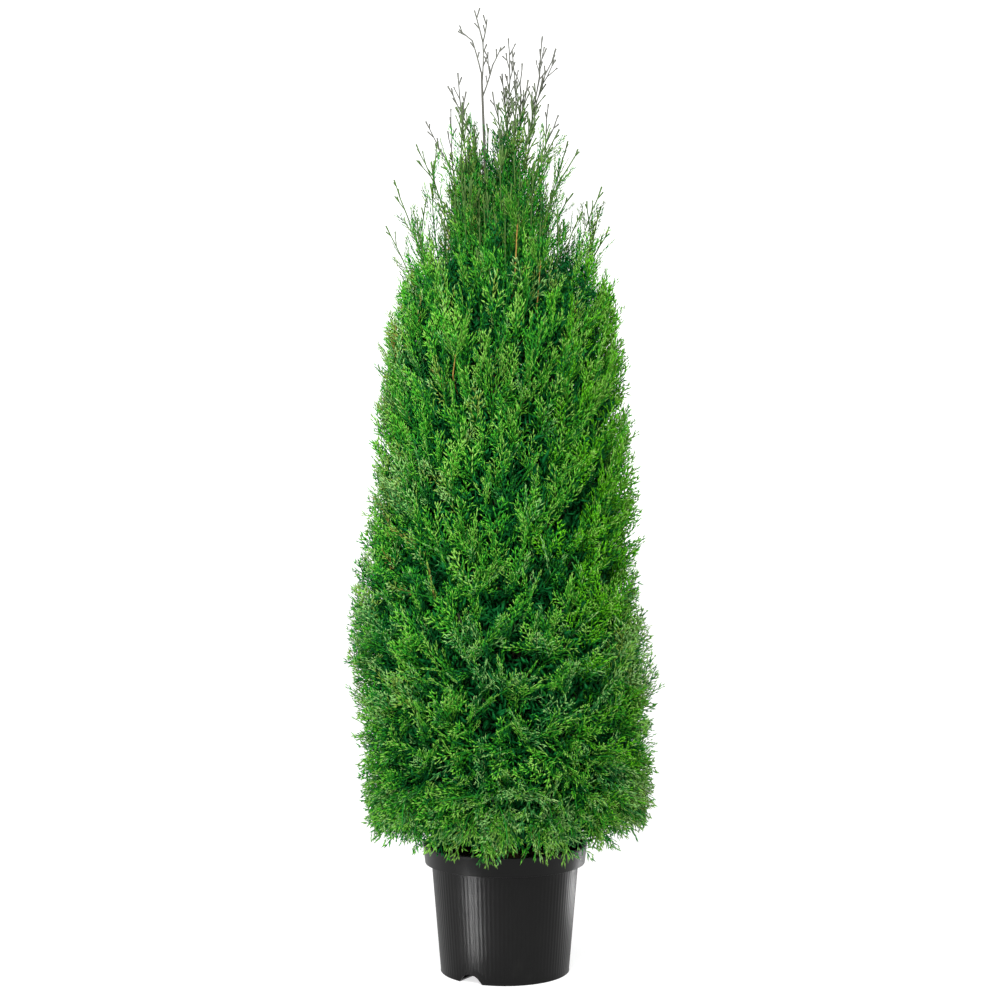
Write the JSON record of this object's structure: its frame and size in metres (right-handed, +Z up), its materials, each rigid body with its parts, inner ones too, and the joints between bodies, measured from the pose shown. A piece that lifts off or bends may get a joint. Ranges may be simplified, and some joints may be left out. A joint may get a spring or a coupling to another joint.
{
  "type": "potted emerald green arborvitae",
  "caption": "Columnar evergreen arborvitae with dense upright green sprays and bare shoots at its tip, standing in a round black nursery pot.",
  "frame": {"origin": "centre of the pot's flat underside, on the floor", "axes": "+Z up along the plant, +X to the viewer's right, and the side in the picture faces -Y"},
  "size_m": [0.5366, 0.5135, 1.6374],
  "materials": {
    "pot_plastic": "satin",
    "potting_mix": "matte",
    "bark": "matte",
    "foliage": "satin"
  },
  "bodies": {
    "root": {"pot": "pot_plastic", "soil": "potting_mix", "trunk": "bark", "bough_left": "bark", "bough_front": "bark", "bough_right": "bark", "skirt_1": "foliage", "skirt_2": "foliage", "skirt_3": "foliage", "skirt_4": "foliage", "skirt_5": "foliage", "skirt_6": "foliage", "low_1": "foliage", "low_2": "foliage", "low_3": "foliage", "low_4": "foliage", "low_5": "foliage", "low_6": "foliage", "middle_1": "foliage", "middle_2": "foliage", "middle_3": "foliage", "middle_4": "foliage", "middle_5": "foliage", "middle_6": "foliage", "upper_1": "foliage", "upper_2": "foliage", "upper_3": "foliage", "upper_4": "foliage", "upper_5": "foliage", "upper_6": "foliage", "plume_1": "foliage", "plume_2": "foliage", "plume_3": "foliage", "plume_4": "foliage", "plume_5": "foliage", "leader_tips": "foliage"}
  },
  "joints": []
}
